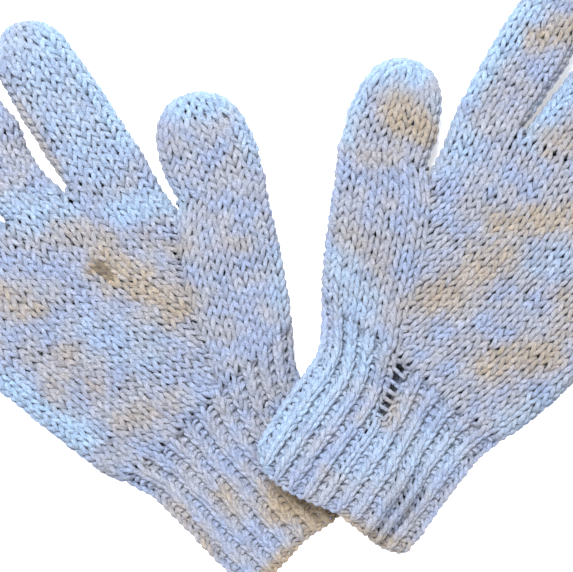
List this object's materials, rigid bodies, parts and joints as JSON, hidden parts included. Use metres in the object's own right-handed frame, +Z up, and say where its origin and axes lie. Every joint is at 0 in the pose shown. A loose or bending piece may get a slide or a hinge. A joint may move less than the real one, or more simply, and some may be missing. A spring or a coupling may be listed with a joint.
{
  "type": "knitted gloves",
  "caption": "Pair of hand-knitted gloves lying flat, with ribbed cuffs, thumb gussets and fingers that bend; the right cuff rests over the left cuff.",
  "frame": {"origin": "on the table under the middle of the pair, at the centre of its bounding box", "axes": "+Z up from the table, +X from the left glove to the right glove, +Y from the cuffs to the fingertips"},
  "size_m": [0.3762, 0.2494, 0.0237],
  "materials": {
    "mottled_yarn": "matte, fuzzy plied yarn, pale blue grey with tan patches"
  },
  "bodies": {
    "left_cuff": {"left_cuff": "mottled_yarn", "left_cast_on_edge": "mottled_yarn"},
    "left_hand": {"left_hand": "mottled_yarn", "left_thumb_gusset": "mottled_yarn"},
    "left_thumb_lower": {"left_thumb_lower": "mottled_yarn"},
    "left_thumb_tip": {"left_thumb_tip": "mottled_yarn"},
    "left_index_lower": {"left_index_lower": "mottled_yarn"},
    "left_index_tip": {"left_index_tip": "mottled_yarn"},
    "left_middle_lower": {"left_middle_lower": "mottled_yarn"},
    "left_middle_tip": {"left_middle_tip": "mottled_yarn"},
    "left_ring_lower": {"left_ring_lower": "mottled_yarn"},
    "left_ring_tip": {"left_ring_tip": "mottled_yarn"},
    "left_little_lower": {"left_little_lower": "mottled_yarn"},
    "left_little_tip": {"left_little_tip": "mottled_yarn"},
    "right_cuff": {"right_cuff": "mottled_yarn", "right_cast_on_edge": "mottled_yarn"},
    "right_hand": {"right_hand": "mottled_yarn", "right_thumb_gusset": "mottled_yarn"},
    "right_thumb_lower": {"right_thumb_lower": "mottled_yarn"},
    "right_thumb_tip": {"right_thumb_tip": "mottled_yarn"},
    "right_index_lower": {"right_index_lower": "mottled_yarn"},
    "right_index_tip": {"right_index_tip": "mottled_yarn"},
    "right_middle_lower": {"right_middle_lower": "mottled_yarn"},
    "right_middle_tip": {"right_middle_tip": "mottled_yarn"},
    "right_ring_lower": {"right_ring_lower": "mottled_yarn"},
    "right_ring_tip": {"right_ring_tip": "mottled_yarn"},
    "right_little_lower": {"right_little_lower": "mottled_yarn"},
    "right_little_tip": {"right_little_tip": "mottled_yarn"}
  },
  "joints": [
    {"name": "left_wrist_bend", "type": "hinge", "parent": "left_cuff", "child": "left_hand", "pos_m": [-0.03767, -0.04574, 0.014], "axis": [0.7193, 0.6947, 0], "range_deg": [0, 50]},
    {"name": "left_thumb_root_bend", "type": "hinge", "parent": "left_hand", "child": "left_thumb_lower", "pos_m": [-0.03254, 0.03985, 0.013], "axis": [0.9259, 0.3778, 0], "range_deg": [0, 50]},
    {"name": "left_thumb_mid_bend", "type": "hinge", "parent": "left_thumb_lower", "child": "left_thumb_tip", "pos_m": [-0.03955, 0.0572, 0.013], "axis": [0.9272, 0.3746, 0], "range_deg": [0, 60]},
    {"name": "left_index_root_bend", "type": "hinge", "parent": "left_hand", "child": "left_index_lower", "pos_m": [-0.0822, 0.04895, 0.013], "axis": [0.8101, 0.5863, 0], "range_deg": [0, 50]},
    {"name": "left_index_mid_bend", "type": "hinge", "parent": "left_index_lower", "child": "left_index_tip", "pos_m": [-0.09827, 0.07417, 0.013], "axis": [0.8434, 0.5373, 0], "range_deg": [0, 70]},
    {"name": "left_middle_root_bend", "type": "hinge", "parent": "left_hand", "child": "left_middle_lower", "pos_m": [-0.10744, 0.03118, 0.013], "axis": [0.8281, 0.5606, 0], "range_deg": [0, 50]},
    {"name": "left_middle_mid_bend", "type": "hinge", "parent": "left_middle_lower", "child": "left_middle_tip", "pos_m": [-0.12806, 0.0571, 0.013], "axis": [0.7826, 0.6225, 0], "range_deg": [0, 70]},
    {"name": "left_ring_root_bend", "type": "hinge", "parent": "left_hand", "child": "left_ring_lower", "pos_m": [-0.12687, 0.01409, 0.013], "axis": [0.665, 0.7468, 0], "range_deg": [0, 50]},
    {"name": "left_ring_mid_bend", "type": "hinge", "parent": "left_ring_lower", "child": "left_ring_tip", "pos_m": [-0.14943, 0.0344, 0.013], "axis": [0.6691, 0.7431, 0], "range_deg": [0, 70]},
    {"name": "left_little_root_bend", "type": "hinge", "parent": "left_hand", "child": "left_little_lower", "pos_m": [-0.14279, -0.00685, 0.013], "axis": [0.5411, 0.8409, 0], "range_deg": [0, 50]},
    {"name": "left_little_mid_bend", "type": "hinge", "parent": "left_little_lower", "child": "left_little_tip", "pos_m": [-0.16274, 0.00635, 0.013], "axis": [0.5519, 0.8339, 0], "range_deg": [0, 70]},
    {"name": "right_glove_lift", "type": "slide", "parent": "left_cuff", "child": "right_cuff", "axis": [0, 0, 1], "range_m": [0, 0.08]},
    {"name": "right_wrist_bend", "type": "hinge", "parent": "right_cuff", "child": "right_hand", "pos_m": [0.04338, -0.032, 0.014], "axis": [0.766, -0.6428, 0], "range_deg": [0, 50]},
    {"name": "right_thumb_root_bend", "type": "hinge", "parent": "right_hand", "child": "right_thumb_lower", "pos_m": [0.03229, 0.05302, 0.013], "axis": [0.95, -0.3123, 0], "range_deg": [0, 50]},
    {"name": "right_thumb_mid_bend", "type": "hinge", "parent": "right_thumb_lower", "child": "right_thumb_tip", "pos_m": [0.03807, 0.07082, 0.013], "axis": [0.9511, -0.309, 0], "range_deg": [0, 60]},
    {"name": "right_index_root_bend", "type": "hinge", "parent": "right_hand", "child": "right_index_lower", "pos_m": [0.07577, 0.06829, 0.013], "axis": [0.8547, -0.5191, 0], "range_deg": [0, 50]},
    {"name": "right_index_mid_bend", "type": "hinge", "parent": "right_index_lower", "child": "right_index_tip", "pos_m": [0.09228, 0.09322, 0.013], "axis": [0.8339, -0.5519, 0], "range_deg": [0, 70]},
    {"name": "right_middle_root_bend", "type": "hinge", "parent": "right_hand", "child": "right_middle_lower", "pos_m": [0.1012, 0.05348, 0.013], "axis": [0.8726, -0.4885, 0], "range_deg": [0, 50]},
    {"name": "right_middle_mid_bend", "type": "hinge", "parent": "right_middle_lower", "child": "right_middle_tip", "pos_m": [0.12137, 0.07976, 0.013], "axis": [0.7934, -0.6088, 0], "range_deg": [0, 70]},
    {"name": "right_ring_root_bend", "type": "hinge", "parent": "right_hand", "child": "right_ring_lower", "pos_m": [0.12518, 0.03577, 0.013], "axis": [0.7208, -0.6931, 0], "range_deg": [0, 50]},
    {"name": "right_ring_mid_bend", "type": "hinge", "parent": "right_ring_lower", "child": "right_ring_tip", "pos_m": [0.14646, 0.05743, 0.013], "axis": [0.7133, -0.7009, 0], "range_deg": [0, 70]},
    {"name": "right_little_root_bend", "type": "hinge", "parent": "right_hand", "child": "right_little_lower", "pos_m": [0.14444, 0.01439, 0.013], "axis": [0.6114, -0.7913, 0], "range_deg": [0, 50]},
    {"name": "right_little_mid_bend", "type": "hinge", "parent": "right_little_lower", "child": "right_little_tip", "pos_m": [0.16342, 0.02895, 0.013], "axis": [0.6088, -0.7934, 0], "range_deg": [0, 70]}
  ]
}
